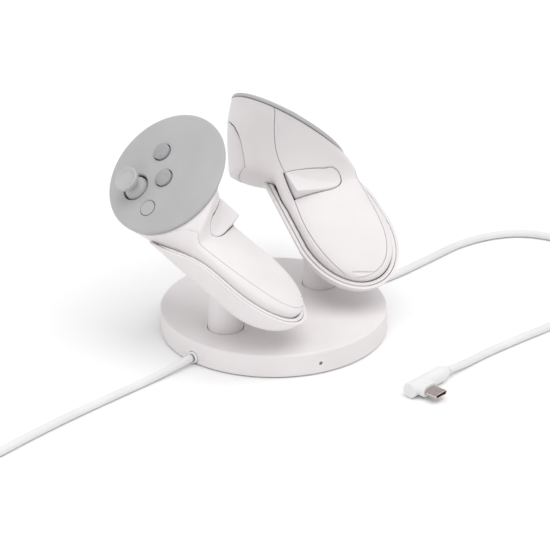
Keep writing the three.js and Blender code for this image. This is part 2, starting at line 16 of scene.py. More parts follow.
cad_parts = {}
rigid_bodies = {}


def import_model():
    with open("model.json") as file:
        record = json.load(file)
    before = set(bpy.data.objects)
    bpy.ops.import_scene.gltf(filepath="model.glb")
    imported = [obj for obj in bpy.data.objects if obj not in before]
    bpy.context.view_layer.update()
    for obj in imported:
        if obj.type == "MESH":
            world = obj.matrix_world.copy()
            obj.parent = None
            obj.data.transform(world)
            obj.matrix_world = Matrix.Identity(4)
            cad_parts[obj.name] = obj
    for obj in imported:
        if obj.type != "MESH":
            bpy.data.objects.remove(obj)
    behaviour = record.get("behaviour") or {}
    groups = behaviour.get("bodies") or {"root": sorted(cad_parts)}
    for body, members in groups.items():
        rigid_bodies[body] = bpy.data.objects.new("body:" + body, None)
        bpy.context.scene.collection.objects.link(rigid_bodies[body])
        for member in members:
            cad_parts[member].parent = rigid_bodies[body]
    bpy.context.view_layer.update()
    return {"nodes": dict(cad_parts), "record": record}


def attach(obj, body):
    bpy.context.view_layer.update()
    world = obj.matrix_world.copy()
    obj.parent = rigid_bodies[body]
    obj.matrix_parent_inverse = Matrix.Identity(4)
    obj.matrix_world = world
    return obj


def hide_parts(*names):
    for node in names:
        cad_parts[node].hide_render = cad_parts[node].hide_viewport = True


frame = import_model()

# %% [markdown]
# ## Camera
#
# A long lens stands well back and looks down by about 25 degrees. A long lens keeps the round base close to
# a true ellipse, the way product pictures are taken.

# %% Camera
camera_data = bpy.data.cameras.new("camera")
camera_data.lens = 132.5
camera_data.sensor_width = 36
camera = bpy.data.objects.new("camera", camera_data)
camera.location = (-0.69066, -0.64769, 0.47114)
camera.rotation_euler = (math.radians(90 - 25.03), 0, math.radians(-46.88))
bpy.context.scene.collection.objects.link(camera)
bpy.context.scene.camera = camera
print("camera", tuple(round(c, 3) for c in camera.location))

# %% [markdown]
# ## Cords
#
# A cord is a round tube swept along one smooth line. The line is worked out as plain points: a Catmull-Rom
# curve passes through each listed point, and the coil of spare cord is a flat spiral that winds inwards
# on the floor and back outwards on top of itself. The tube is a mesh with one ring of points per line point.

# %% Smooth lines through points
MM = 0.001
CORD_D = 0.004


def smooth_line(points, step=1.5):
    """Points every few millimetres on a smooth curve through the given ones."""
    p = np.array(points, float)
    p = np.vstack([2 * p[0] - p[1], p, 2 * p[-1] - p[-2]])
    line = []
    for a, b, c, d in zip(p, p[1:], p[2:], p[3:]):
        ta = 0.0
        tb = ta + np.linalg.norm(b - a) ** 0.5
        tc = tb + np.linalg.norm(c - b) ** 0.5
        td = tc + np.linalg.norm(d - c) ** 0.5
        count = max(2, int(np.linalg.norm(c - b) / step))
        for t in np.linspace(tb, tc, count, endpoint=False):
            ab = (tb - t) / (tb - ta) * a + (t - ta) / (tb - ta) * b
            bc = (tc - t) / (tc - tb) * b + (t - tb) / (tc - tb) * c
            cd = (td - t) / (td - tc) * c + (t - tc) / (td - tc) * d
            abc = (tc - t) / (tc - ta) * ab + (t - ta) / (tc - ta) * bc
            bcd = (td - t) / (td - tb) * bc + (t - tb) / (td - tb) * cd
            line.append((tc - t) / (tc - tb) * abc + (t - tb) / (tc - tb) * bcd)
    line.append(p[-2])
    return np.array(line)


# %% A cord from its points
CORD_SIDES = 20


def cord_piece(name, line):
    """A round cord along a line in millimetres: one ring per point, square to the line, and flat ends."""
    ahead = np.gradient(line, axis=0)
    ahead /= np.linalg.norm(ahead, axis=1)[:, None]
    side = np.cross(ahead, [0, 0, 1])
    side /= np.linalg.norm(side, axis=1)[:, None]
    over = np.cross(side, ahead)
    turns = np.linspace(0, 2 * math.pi, CORD_SIDES, endpoint=False)
    rings = [p + CORD_D / 2 / MM * (np.outer(np.cos(turns), s) + np.outer(np.sin(turns), o))
             for p, s, o in zip(line, side, over)]
    n, last = CORD_SIDES, (len(line) - 1) * CORD_SIDES
    faces = [(i + k, i + (k + 1) % n, i + n + (k + 1) % n, i + n + k)
             for i in range(0, last, n) for k in range(n)]
    faces += [tuple(range(n - 1, -1, -1)), tuple(range(last, last + n))]
    mesh = bpy.data.meshes.new(name)
    mesh.from_pydata([tuple(p) for p in np.vstack(rings) * MM], [], faces)
    for face in mesh.polygons:
        face.use_smooth = len(face.vertices) == 4
    mesh.validate()
    piece = bpy.data.objects.new(name, mesh)
    bpy.context.scene.collection.objects.link(piece)
    return piece


# %% Power cord, out to its coil
COIL_AT = np.array([-224.0, 28.5])
COIL_OUT, COIL_IN, TURN_GAP = 30.3, 22.1, 4.1
LOW, HIGH, TOP = 2.1, 6.3, 10.6


def coil_point(wound):
    """A point of the coil after a number of degrees wound clockwise from its front."""
    keys = [0, 720, 810, 1530, 1620, 1980]
    radius = np.interp(wound, keys, [COIL_OUT, COIL_IN, COIL_IN, COIL_OUT, COIL_OUT, COIL_OUT])
    height = np.interp(wound, [0, 715, 820, 1525, 1700, 1980], [LOW, LOW, HIGH, HIGH, TOP, 12.9])
    angle = math.radians(-90 - wound)
    return [COIL_AT[0] + radius * math.cos(angle), COIL_AT[1] + radius * math.sin(angle), height]


power_points = [[-60.2, 0.3, 3.6], [-72, 0.4, 2.9], [-86, 0.7, 2.15], [-104, 1.1, 2.1], [-121, 1.5, 2.1],
                [-140, 1.6, 2.1], [-160, 1.2, 2.1], [-182, 0.0, 2.1], [-204, -1.4, 2.1]]
power_points += [coil_point(w) for w in range(0, 1981, 20)]
power_points += [[-215.5, 58.6, 11.6], [-208.5, 57.4, 8.6], [-202.5, 55.6, 5.2], [-197.0, 54.5, 3.8]]
power_line = smooth_line(power_points)
power_cord = cord_piece("power_cord_tube", power_line)

# %% Headset lead, out and back to its plug
lead_points = [[60, -5.25, 3.6], [68, -6.3, 3.1], [80, -7.8, 2.15], [93, -8.9, 2.1], [118, -9, 2.1],
               [144.5, -9.3, 2.1], [165, -14.8, 2.1], [179.5, -24.7, 2.1], [187.5, -40, 2.1], [190, -58, 2.1],
               [186, -77, 2.1], [173, -95, 2.1], [152, -106, 2.1], [125, -109.5, 2.1], [95, -108.2, 2.1],
               [72.8, -105.4, 2.1], [50, -103, 2.1], [30, -102.3, 2.4], [16.4, -102.3, 3.9]]
lead_line = smooth_line(lead_points)
lead = cord_piece("headset_lead_tube", lead_line)

nodes = frame["nodes"]
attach(power_cord, "dock")
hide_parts("power_cord", "power_coil")
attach(lead, "dock")
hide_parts("headset_lead")

# %% [markdown]
# ## Meshes
#
# Moulded plastic is a few curved skins cut by sharp seams. Each skin is built here as a grid of points worked
# out with numpy, in millimetres, and then cut with exact Boolean tools, which is how the real mould tools
# split one form into parts. The right station is the left one mirrored.

# %% Mesh helpers
def new_piece(name, points, faces):
    mesh = bpy.data.meshes.new(name)
    mesh.from_pydata([tuple(p) for p in points], [], faces)
    mesh.update()
    piece = bpy.data.objects.new(name, mesh)
    bpy.context.scene.collection.objects.link(piece)
    return piece


def tidy(piece, sharp=32):
    """Faces out, merged points, and smooth shading that breaks at edges sharper than the given angle."""
    work = bmesh.new()
    work.from_mesh(piece.data)
    bmesh.ops.remove_doubles(work, verts=work.verts, dist=1e-4)
    bmesh.ops.recalc_face_normals(work, faces=work.faces)
    for face in work.faces:
        face.smooth = True
    for edge in work.edges:
        edge.smooth = len(edge.link_faces) == 2 and edge.calc_face_angle(0) < math.radians(sharp)
    work.to_mesh(piece.data)
    work.free()
    return piece


def freeze(piece):
    """Applies the piece's modifiers."""
    seen = piece.evaluated_get(bpy.context.evaluated_depsgraph_get())
    mesh = bpy.data.meshes.new_from_object(seen)
    piece.modifiers.clear()
    old = piece.data
    piece.data = mesh
    bpy.data.meshes.remove(old)
    return piece


def cut(piece, tool, how="DIFFERENCE", keep_tool=False):
    step = piece.modifiers.new("cut", "BOOLEAN")
    step.operation = how
    step.solver = "EXACT"
    step.object = tool
    freeze(piece)
    if not keep_tool:
        bpy.data.objects.remove(tool)
    return piece


def copy_of(piece, name):
    other = bpy.data.objects.new(name, piece.data.copy())
    bpy.context.scene.collection.objects.link(other)
    return other


def main_part(piece):
    """Keeps the largest loose part of a cut piece."""
    work = bmesh.new()
    work.from_mesh(piece.data)
    left = set(work.verts)
    groups = []
    while left:
        queue = [left.pop()]
        group = [queue[0]]
        while queue:
            for edge in queue.pop().link_edges:
                for vert in edge.verts:
                    if vert in left:
                        left.remove(vert)
                        group.append(vert)
                        queue.append(vert)
        groups.append(group)
    groups.sort(key=len)
    bmesh.ops.delete(work, geom=[v for g in groups[:-1] for v in g], context="VERTS")
    work.to_mesh(piece.data)
    work.free()
    return piece


# %% Lathed, wrapped and extruded forms
def lathe(name, outline, around=128):
    """A closed outline of [radius, height] pairs turned about Z."""
    rows = np.array(outline, float)
    angles = np.linspace(0, 2 * math.pi, around, endpoint=False)
    points = [(r * math.cos(a), r * math.sin(a), z) for r, z in rows for a in angles]
    n = len(rows)
    faces = [(i * around + k, i * around + (k + 1) % around, (i + 1) % n * around + (k + 1) % around,
              (i + 1) % n * around + k) for i in range(n) for k in range(around)]
    return tidy(new_piece(name, points, faces))


def fillet(corner, start, end, steps=5):
    """Points on a rounded corner, from start to end round the corner point."""
    a, b, c = (np.array(p, float) for p in (start, corner, end))
    return [list((1 - t) ** 2 * a + 2 * t * (1 - t) * b + t * t * c) for t in np.linspace(0, 1, steps + 1)]


def wrap(name, rows, first, last):
    """A closed skin through rings of points, with a pole at each end."""
    count, around = len(rows), len(rows[0])
    points = [p for row in rows for p in row] + [first, last]
    faces = [(i * around + k, i * around + (k + 1) % around, (i + 1) * around + (k + 1) % around,
              (i + 1) * around + k) for i in range(count - 1) for k in range(around)]
    pole_a, pole_b = count * around, count * around + 1
    faces += [(pole_a, (k + 1) % around, k) for k in range(around)]
    base = (count - 1) * around
    faces += [(pole_b, base + k, base + (k + 1) % around) for k in range(around)]
    return tidy(new_piece(name, points, faces))


def prism(name, outline, low, high, place):
    """A flat outline pushed from low to high; place turns (u, v, depth) into a point."""
    n = len(outline)
    points = [place(u, v, d) for d in (low, high) for u, v in outline]
    faces = [tuple(range(n)), tuple(range(2 * n - 1, n - 1, -1))]
    faces += [(k, (k + 1) % n, n + (k + 1) % n, n + k) for k in range(n)]
    return tidy(new_piece(name, points, faces))


def rod(name, radius, start, end, around=48):
    """A round bar between two points."""
    a, b = np.array(start, float), np.array(end, float)
    along = (b - a) / np.linalg.norm(b - a)
    side = np.cross(along, [0, 0, 1] if abs(along[2]) < 0.9 else [1, 0, 0])
    side /= np.linalg.norm(side)
    over = np.cross(along, side)
    ring = [radius * (math.cos(t) * side + math.sin(t) * over)
            for t in np.linspace(0, 2 * math.pi, around, endpoint=False)]
    points = [a + r for r in ring] + [b + r for r in ring]
    faces = [(k, (k + 1) % around, around + (k + 1) % around, around + k) for k in range(around)]
    faces += [tuple(range(around)), tuple(range(2 * around - 1, around - 1, -1))]
    return tidy(new_piece(name, points, faces))


def curve_points(*corners, steps=14):
    """Points along a Bezier curve of any order."""
    out = []
    for t in np.linspace(0, 1, steps):
        level = [np.array(c, float) for c in corners]
        while len(level) > 1:
            level = [(1 - t) * a + t * b for a, b in zip(level, level[1:])]
        out.append(tuple(level[0]))
    return out


# %% [markdown]
# ## The controller's form
#
# The handle is a flattened tube with a round tail. Its head turns round one line, as a fan of sections, from
# the handle's slope to the tilt of the round button face, and on its front it steps out as the shelf that
# the index trigger hangs from. The same functions give the cradle, grown out from the handle.

# %% Handle and face frames
YAW, PITCH, ROLL = (math.radians(a) for a in (12.66, 31.38, -11.0))
TAIL = np.array([-26.17, -47.43, 29.75])
along = np.array([-math.cos(PITCH) * math.sin(YAW), math.cos(PITCH) * math.cos(YAW), math.sin(PITCH)])
level = np.cross([0, 0, 1], along)
level /= np.linalg.norm(level)
height = np.cross(along, level) * math.cos(ROLL) + level * math.sin(ROLL)
HANDLE = np.column_stack([np.cross(height, along), height, along])

TILT = math.radians(44)
FACE_AT = np.array([-45.1, 31.4, 90.5])
out = np.array([-math.sin(TILT), 0, math.cos(TILT)])
FACE = np.column_stack([[0, 1, 0], np.cross(out, [0, 1, 0]), out])
print("handle axis", along.round(3), "face normal", out.round(3))


def to_dock(points, turn, origin):
    return np.asarray(points, float) @ turn.T + origin


def to_handle(points):
    return (np.asarray(points, float) - TAIL) @ HANDLE


# %% Handle surface
TAIL_S, TAPER_S, ROUND_S, NECK_S, MOUTH_S = 4.4, 36.4, 30, 60, 84.5
HALF_WIDTH, CROWN, BELLY, HULL, CLEAR, WALL = 22.2, 6, 16.6, 4.4, 0.5, 1.8
FACE_R = 33.5


def bend(t, power):
    return np.sign(t) * np.abs(t) ** (2 / power)


def round_off(s, tail, full):
    return math.sqrt(max(0, 1 - (max(0, full - s) / (full - tail)) ** 2))


def handle_ring(s, angle, grow):
    tail = TAIL_S - grow
    lean = max(0, s - TAPER_S)
    half = (HALF_WIDTH + grow) * round_off(s, tail, TAPER_S) - 0.03 * lean
    deep = round_off(s, tail, ROUND_S)
    side = np.where(np.sin(angle) > 0, (CROWN + grow) * deep, (BELLY + grow) * deep)
    x = 1.9 + 0.0475 * lean + half * bend(np.cos(angle), 2.2)
    return np.column_stack([x, side * bend(np.sin(angle), 2.2), np.full_like(x, s)])


# %% Head surface, a fan of sections
face_out = HANDLE.T @ FACE[:, 2]
face_at = to_handle(FACE_AT)
FAN_AXIS = np.cross(face_out, [0, 0, 1])
FAN_AXIS /= np.linalg.norm(FAN_AXIS)
in_face = -np.cross(FAN_AXIS, face_out)
if in_face[2] < 0:
    in_face = -in_face
REACH = (face_at[2] - NECK_S) / in_face[2]
PIVOT = face_at - in_face * REACH
AT_NECK = np.array([in_face[0], in_face[1], 0]) / math.hypot(in_face[0], in_face[1])
FAN_TURN = math.acos(in_face @ AT_NECK)
print("fan reach", round(float(REACH), 2), "turn", round(math.degrees(FAN_TURN), 1))


def ease(x, low, high):
    t = np.clip((x - low) / (high - low), 0, 1)
    return t * t * (3 - 2 * t)


def fan_point(turn, rho, eta):
    rho, eta = np.asarray(rho, float), np.asarray(eta, float)
    flat = np.multiply.outer(rho * np.cos(turn), AT_NECK) + np.multiply.outer(rho * np.sin(turn), [0, 0, 1])
    return PIVOT + flat + np.multiply.outer(eta, FAN_AXIS)


def head_ring(k, angle, grow, nose=0.0):
    neck = handle_ring(NECK_S, angle, grow) - PIVOT
    side = np.column_stack([np.cos(angle), np.sin(angle), np.zeros_like(angle)])
    facing = side @ AT_NECK
    shelf = 0.82 * ease(k, 0.32, 0.52) + 0.18 * ease(k, 0.52, 1)
    step = k ** 1.5 + (shelf - k ** 1.5) * np.maximum(0, facing) ** 2
    swell = nose * np.maximum(0, facing)
    swell = swell - 2.6 * math.sin(math.pi * k ** 1.5) * np.maximum(0, -facing) ** 3
    side = side * (FACE_R + grow)
    rho = neck @ AT_NECK * (1 - step) + (REACH + side @ AT_NECK) * step + swell
    eta = neck @ FAN_AXIS * (1 - k ** 1.5) + side @ FAN_AXIS * k ** 1.5
    return fan_point(k * FAN_TURN, rho, eta)


# %% Whole body and cradle skins
def handle_rows(angle, grow, end, quarter, straight):
    tail = TAIL_S - grow
    bows = np.linspace(0, math.pi / 2, quarter + 1)[1:]
    stations = [tail + (TAPER_S - tail) * (1 - math.cos(a)) for a in bows]
    stations += list(np.linspace(TAPER_S, end, straight + 1)[1:])
    return [handle_ring(s, angle, grow) for s in stations]


def body_skin(name, grow, nose=0.0, around=144, fine=1.0):
    angle = np.linspace(0, 2 * math.pi, around, endpoint=False)
    rows = handle_rows(angle, grow, NECK_S, int(22 * fine), int(10 * fine))
    rows += [head_ring(k, angle, grow, nose) for k in np.linspace(0, 1, int(34 * fine) + 1)[1:]]
    return wrap(name, rows, [1.9, 0, TAIL_S - grow], list(face_at))


def hull_skin(name, grow, around=144):
    angle = np.linspace(0, 2 * math.pi, around, endpoint=False)
    end = MOUTH_S + 12
    return wrap(name, handle_rows(angle, grow, end, 22, 18), [1.9, 0, TAIL_S - grow], [3, -4, end])


def rim_space(name, drop):
    """Everything below the cradle's rim and behind its mouth, as one solid."""
    xs, zs = np.linspace(-45, 45, 37), np.linspace(0, 120, 73)
    points, index = [], {}
    for top in (True, False):
        for i, x in enumerate(xs):
            for j, z0 in enumerate(zs):
                mouth = MOUTH_S - drop + 0.04 * x + (0 if top else 6)
                z = z0 * (mouth + 20) / 120 - 20
                dip = 14 * ease(z, 44, 88) ** 1.4 * ease(x, -4, 20)
                index[top, i, j] = len(points)
                points.append((x, -dip - drop if top else -60, z))
    faces = []
    for top in (True, False):
        for i in range(len(xs) - 1):
            for j in range(len(zs) - 1):
                cell = ((i, j), (i + 1, j), (i + 1, j + 1), (i, j + 1))
                faces.append([index[top, *corner] for corner in cell])
    rims = [((i, j), (i + 1, j)) for i in range(len(xs) - 1) for j in (0, len(zs) - 1)]
    rims += [((i, j), (i, j + 1)) for j in range(len(zs) - 1) for i in (0, len(xs) - 1)]
    for a, b in rims:
        faces.append([index[True, *a], index[True, *b], index[False, *b], index[False, *a]])
    return tidy(new_piece(name, points, faces))


# %% Outlines of the panel, the grip key and the trigger
GRIP_FRONT, GRIP_HINGE, GRIP_PROUD, PADDLE_TOP = -14, 12.2, 5.4, 5.6


def panel_outline(g):
    line = [(-11.8 - g, 130)]
    line += curve_points((-11.8 - g, 96), (-16.5 - g, 86), (-14.2 - g, 76), steps=10)
    line += curve_points((-15 - g, 60), (-18.5 - g, 44), (-19.5 - g, 26), (-12.5 - g, 12.5), steps=26)
    line += curve_points((-12.5 - g, 12.5), (-7.5, 3.6 - g), (6, 3.6 - g), (13 + g, 13), steps=22)[1:]
    line += curve_points((13 + g, 13), (20.5 + g, 23), (21.5 + g, 38), (23 + g, 58), steps=20)[1:]
    return line + [(22.8 + g, 130)]


def grip_outline(g):
    front = GRIP_FRONT - 2 * g
    line = [(front, 74.7 + g), (front, 61.4 - g), (3.5, 58.4 - g)]
    end = curve_points((3.5, 58.4 - g), (16 + g, 56.6 - g), (16 + g, 66.5 + g), (6, 67.6 + g), steps=24)
    return line + end[1:]


def polar(rho, turn):
    return (rho * math.cos(math.radians(turn)), rho * math.sin(math.radians(turn)))


def trigger_outline(g):
    back = [(62.6, 29.5 - g), (63.2, 35.2), (65.6, 42.2), (70, 47)]
    line = [polar(92.8, 23.6 - g * 0.8)]
    smooth = smooth_line([(*polar(rho - g, turn), 0) for rho, turn in back], 0.8)
    line += [(p[0], p[1]) for p in smooth]
    return line + [polar(75.8, 49.9 + g * 0.5), polar(92, 49.9 + g * 0.5)]


def over_handle(u, v, depth):
    return (u, depth, v)


def across_fan(u, v, depth):
    return tuple(PIVOT + AT_NECK * u + np.array([0, 0, v]) + FAN_AXIS * depth)


def face_space(name):
    """The room above the shells' top edge, in the handle's frame."""
    low = to_handle(to_dock([[0, 0, -2.1]], FACE, FACE_AT))[0]
    high = to_handle(to_dock([[0, 0, 40]], FACE, FACE_AT))[0]
    return rod(name, 60, low, high, 64)


def panel_space(name, g):
    space = prism(name, panel_outline(g), -1, 60, over_handle)
    beyond = prism("beyond", [(-30, 96), (30, 96), (30, 140), (-30, 140)], -1, 15, over_handle)
    return cut(space, beyond)


def face_ledge(name):
    """A ring round the button face, where the shells are solid, so that no gap opens beside the face's rim."""
    form = lathe(name, [[FACE_R - 1.2, -5], [70, -5], [70, 5], [FACE_R - 1.2, 5]], 192)
    points = to_handle(to_dock([v.co for v in form.data.vertices], FACE, FACE_AT))
    form.data.vertices.foreach_set("co", points.ravel())
    return form


# %% Shells of the left controller
solid_body = body_skin("solid_body", 0)
skin = copy_of(solid_body, "skin")
hollow = body_skin("hollow", -WALL, around=72, fine=0.5)
cut(skin, cut(hollow, face_ledge("face_ledge")))
cut(skin, face_space("face_room"))
outer_shell = copy_of(skin, "outer_shell_form")
cut(outer_shell, panel_space("panel_room", 0.15))
cut(outer_shell, prism("trigger_room", trigger_outline(0.6), -40, 40, across_fan))
cut(outer_shell, prism("grip_room", grip_outline(0.5), -5, 60, over_handle))
main_part(outer_shell)
inner_panel = skin
cut(inner_panel, panel_space("panel_room", -0.15), "INTERSECT")
cut(inner_panel, prism("grip_room", grip_outline(0.5), -5, 60, over_handle))
cut(inner_panel, prism("trigger_room", trigger_outline(0.6), -40, 40, across_fan))
slope = math.radians(24)
slot = [(-3.6 + x * math.cos(slope) + z * math.sin(slope), 7.7 - x * math.sin(slope) + z * math.cos(slope))
        for x, z in ((-5.9, -1), (5.9, -1), (5.9, 1), (-5.9, 1))]
cut(inner_panel, prism("latch_slot", slot, 1.95, 6.6, over_handle))
main_part(inner_panel)
for form in (outer_shell, inner_panel):
    tidy(form)
    print(form.name, len(form.data.polygons), "faces")


# %% Soft edges for the moulded keys
def soften(piece, voxel, rounds, share):
    """Rounds every edge a little: remesh into small even faces, relax them, then thin them out."""
    remesh = piece.modifiers.new("even", "REMESH")
    remesh.mode = "VOXEL"
    remesh.voxel_size = voxel
    remesh.adaptivity = 0
    relax = piece.modifiers.new("relax", "SMOOTH")
    relax.factor = 0.5
    relax.iterations = rounds
    thin = piece.modifiers.new("thin", "DECIMATE")
    thin.ratio = share
    freeze(piece)
    for face in piece.data.polygons:
        face.use_smooth = True
    return piece


# %% Trigger and grip key
trigger = body_skin("trigger_form", -WALL - 1.5, 3.4)
cut(trigger, prism("crescent", trigger_outline(0), -12.2, 14.8, across_fan), "INTERSECT")
cut(trigger, face_space("face_room"))
main_part(trigger)
soften(trigger, 0.4, 6, 0.4)

paddle = prism("grip_form", grip_outline(0), 2.4, 30, over_handle)
near = copy_of(paddle, "grip_near")
lean = math.atan2(GRIP_PROUD, GRIP_HINGE - GRIP_FRONT)
above = []
for x, y in ((-40, 0), (40, 0), (40, 40), (-40, 40)):
    above.append((GRIP_HINGE + x * math.cos(lean) + y * math.sin(lean),
                  PADDLE_TOP - x * math.sin(lean) + y * math.cos(lean)))
cut(paddle, prism("over_paddle", above, 36, 96, lambda u, v, d: (u, v, d)))
cut(near, body_skin("skin_near", 0.3, around=96, fine=0.7), "INTERSECT")
cut(paddle, near, "UNION")
cut(paddle, rod("pin_room", 1.1, (GRIP_HINGE, 3.9, 51), (GRIP_HINGE, 3.9, 81), 24))
grip = soften(main_part(paddle), 0.35, 14, 0.4)
print("trigger", len(trigger.data.polygons), "grip", len(grip.data.polygons), "faces")

# %% [markdown]
# ## The cradle
#
# The cradle is a thin outer shell with a separate liner inside it. The liner ends in a thick rolled lip, and a
# fine shadow line parts the lip from the shell. The lip's edges are clearly rounded, so the liner is remeshed
# and relaxed, while the shell keeps its crisp edge along the shadow line.

# %% Cradle liner and shell
inside = hull_skin("inside", CLEAR)
around_body = body_skin("around_body", CLEAR, around=96, fine=0.7)
liner = cut(hull_skin("liner_form", HULL), rim_space("rim", 0), "INTERSECT")
cut(liner, rim_space("rim_low", 2.4))
cup = cut(hull_skin("cup", 2.6), rim_space("rim", 0), "INTERSECT")
cut(liner, cup, "UNION")
cut(liner, inside, keep_tool=True)
cut(liner, around_body, keep_tool=True)
main_part(liner)
soften(liner, 0.5, 4, 0.3)
shell = cut(hull_skin("shell_form", HULL), rim_space("rim_low", 2.9), "INTERSECT")
cut(shell, hull_skin("cup_room", 2.9))
cut(shell, around_body)
main_part(shell)
tidy(shell)
bpy.data.objects.remove(inside)
print("liner", len(liner.data.polygons), "shell", len(shell.data.polygons), "faces")

# %% [markdown]
# ## Button face
#
# The face is a shallow dome with a rounded rim, turned on a lathe and bored for the stick and the three keys.
# Each key stands in its own small well, so a dark ring shows round it; only the upper and lower keys are glossy
# domes.

# %% Face plate
STICK_AT = np.array([12.0, 12.7])
KEYS = {"upper_button": ((8.2, -9.2), 4.5, 1.9), "lower_button": ((-2.1, 3.2), 4.5, 1.9),
        "menu_button": ((-2.3, 20.4), 4.0, 0.12)}


def crown(r):
    return 1.6 * (1 - (r / FACE_R) ** 2)


def turned_at(name, outline, at, around=64):
    piece = lathe(name, outline, around)
    piece.data.transform(Matrix.Translation((at[0], at[1], 0)))
    return piece


plate_outline = [[0.02, -1.8], [FACE_R - 0.4, -1.8], [FACE_R, -1.5]]
RIM = 3.4
plate_outline += fillet([FACE_R, crown(FACE_R - RIM)], [FACE_R, -0.7], [FACE_R - RIM, crown(FACE_R - RIM)], 12)
plate_outline += [[r, crown(r)] for r in np.linspace(FACE_R - RIM - 0.8, 0.02, 26)]
plate = lathe("plate_form", plate_outline, 192)
stick_top = crown(17.5)
stick_hole = [[0.02, -9], [7.2, -9], [7.2, stick_top - 0.5], [7.9, stick_top + 0.3], [7.9, 9], [0.02, 9]]
cut(plate, turned_at("stick_room", stick_hole, STICK_AT, 96))
for name, (at, radius, rise) in KEYS.items():
    top = crown(math.hypot(*at))
    well = [[0.02, -9], [radius + 0.3, -9], [radius + 0.3, top - 0.35], [radius + 0.75, top + 0.12],
            [radius + 0.75, 9], [0.02, 9]]
    cut(plate, turned_at("well", well, at))
tidy(plate)
print("plate", len(plate.data.polygons), "faces")

# %% Keys
key_forms = {}
for name, (at, radius, rise) in KEYS.items():
    top = crown(math.hypot(*at)) + min(0.3, rise - 0.12)
    dome = [[r, top + rise * math.sqrt(1 - (0.92 * r / radius) ** 2)]
            for r in np.linspace(radius - 0.25, 0.02, 14)]
    shoulder = fillet([radius, dome[0][1]], [radius, dome[0][1] - 0.35], dome[0], 4)
    outline = [[0.02, -3.2], [radius + 1.2, -3.2], [radius + 1.2, -2.5], [radius, -2.5], *shoulder[:-1], *dome]
    key_forms[name] = turned_at(name + "_form", outline, at)

# %% Thumb stick
ball = [[6.6 * math.cos(a), -2 + 6.6 * math.sin(a)] for a in np.radians(np.linspace(-14.9, 66, 20))]
stem_outline = [[0.02, -9.6], [1.3, -9.6], [1.3, -4], *ball, [2.35, 4.7], [2.2, 5.4], [2.2, 7], [0.02, 7]]
stem = turned_at("stem_form", stem_outline, STICK_AT)
cap_outline = [[0.02, 7.7], [2.9, 7.7], [2.9, 7.2], [4.4, 7.2], *fillet([6.5, 7.7], [5.1, 7.3], [6.5, 8.9], 5),
               *fillet([6.5, 10.6], [6.5, 9.7], [5.9, 10.6], 4),
               *fillet([5.2, 10.6], [5.6, 10.6], [4.6, 10.1], 5),
               [3.2, 9.9], [1.6, 9.8], [0.02, 9.8]]
cap = turned_at("cap_form", cap_outline, STICK_AT)
print("keys", sorted(key_forms))

# %% [markdown]
# ## The dock's own pieces
#
# The base is a shallow turned drum whose top edge has a small round. The posts are plain columns that sink
# into it and end under the cradles, where each is cut to the cradle's curve.

# %% Base cover
DISC_R, DISC_TOP = 59, 12.4
cover_outline = [[0.02, 10.2], [56.8, 10.2], [56.8, 0.5]]
cover_outline += fillet([DISC_R, 0.5], [58.4, 0.5], [DISC_R, 1.1], 4)
cover_outline += fillet([DISC_R, DISC_TOP], [DISC_R, DISC_TOP - 1.3], [DISC_R - 1.3, DISC_TOP], 8)
cover_outline += [[r, DISC_TOP] for r in (50, 40, 30, 20, 10, 0.02)]
cover = lathe("cover_form", cover_outline, 224)
for side in (-1, 1):
    ring = [[0.02, 5], [9.3, 5], [9.3, 12.1], [9.65, 12.5], [9.65, 20], [0.02, 20]]
    cut(cover, turned_at("post_room", ring, (side * 35.7, 0), 96))


def outwards(degrees, radius, height):
    a = math.radians(degrees)
    return (radius * math.cos(a), radius * math.sin(a), height)


LAMP_ANGLE, LAMP_HEIGHT = -113.4, 5.9
for degrees in (180, -5):
    cut(cover, rod("cord_room", 3.3, outwards(degrees, 54, 3.6), outwards(degrees, 63, 3.6), 40))
lamp_ends = [outwards(LAMP_ANGLE, radius, LAMP_HEIGHT) for radius in (54, 63)]
cut(cover, rod("lamp_room", 0.95, *lamp_ends, 32))
tidy(cover)
print("cover", len(cover.data.polygons), "faces")

# %% Post
post_outline = [[3, 7], [12.5, 7], [12.5, 9.8], [9, 9.8], [9, 44], [3, 44]]
post = turned_at("post_form", post_outline, (-35.7, 0), 96)
hull_out = hull_skin("hull_out", HULL + 0.3, around=96)
hull_out.data.vertices.foreach_set("co", to_dock([v.co for v in hull_out.data.vertices], HANDLE, TAIL).ravel())
cut(post, hull_out)
tidy(main_part(post))

# %% Placing a form: millimetres to metres, and the mirrored twin
def placed(form, name, turn=None, origin=None, mirrored=False):
    points = np.array([v.co for v in form.data.vertices])
    if turn is not None:
        points = to_dock(points, turn, origin)
    points = points * MM * ([-1, 1, 1] if mirrored else [1, 1, 1])
    mesh = form.data.copy()
    mesh.name = name
    mesh.vertices.foreach_set("co", points.ravel())
    if mirrored:
        mesh.flip_normals()
    mesh.update()
    piece = bpy.data.objects.new(name, mesh)
    bpy.context.scene.collection.objects.link(piece)
    return piece


HANDLE_PIECES = {"outer_shell": outer_shell, "inner_panel": inner_panel, "index_trigger": trigger,
                 "grip_button": grip, "cradle_shell": shell, "cradle_liner": liner}
FACE_PIECES = {"face_plate": plate, "stick_stem": stem, "stick_cap": cap, **key_forms}
RIDES = {"outer_shell": "controller", "inner_panel": "controller", "index_trigger": "trigger",
         "grip_button": "grip", "face_plate": "controller", "stick_stem": "stick", "stick_cap": "thumb_cap",
         "upper_button": "upper_key", "lower_button": "lower_key", "menu_button": "menu_key"}
pieces = {}


def settle(piece, node, body):
    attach(piece, body)
    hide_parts(node)
    pieces[node] = piece


